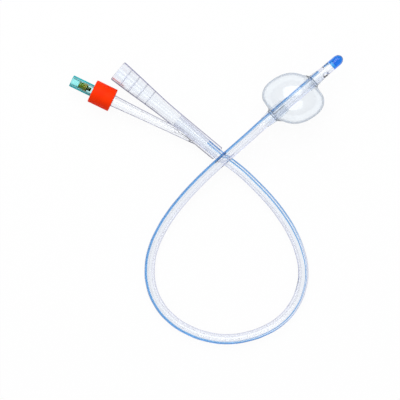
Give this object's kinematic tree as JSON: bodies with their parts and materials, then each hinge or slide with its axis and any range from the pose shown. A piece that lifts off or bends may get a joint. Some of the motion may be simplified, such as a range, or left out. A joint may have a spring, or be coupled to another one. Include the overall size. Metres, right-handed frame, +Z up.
{
  "type": "foley urinary catheter",
  "caption": "Clear silicone urinary catheter with an inflated balloon, a rounded tip, a drainage funnel and a filling arm with a valve, lying in a loop.",
  "frame": {"origin": "middle of the object's outline on the surface it lies on", "axes": "+Z up from the surface, -X the way the drainage funnel's mouth points, +Y roughly the way the tip points"},
  "size_m": [0.1666, 0.1628, 0.0283],
  "materials": {
    "clear_silicone": "clear, smooth",
    "balloon_silicone": "clear, thin, smooth",
    "blue_silicone": "translucent, smooth",
    "orange_silicone": "smooth",
    "teal_plastic": "translucent, moulded",
    "olive_rubber": "satin"
  },
  "bodies": {
    "catheter": {"shaft": "clear_silicone", "radiopaque_stripe": "blue_silicone", "radiopaque_stripe_end": "blue_silicone", "tip": "blue_silicone", "balloon": "balloon_silicone", "y_connector": "clear_silicone", "colour_sleeve": "orange_silicone", "valve_housing": "teal_plastic", "valve_base": "teal_plastic"},
    "plunger": {"valve_plunger": "olive_rubber"}
  },
  "joints": [
    {"name": "valve_press", "type": "slide", "parent": "catheter", "child": "plunger", "axis": [0.97, 0.2402, -0.0361], "range_m": [0, 0.0015], "stiffness_N_per_m": 1500, "springref_m": -0.0003}
  ]
}
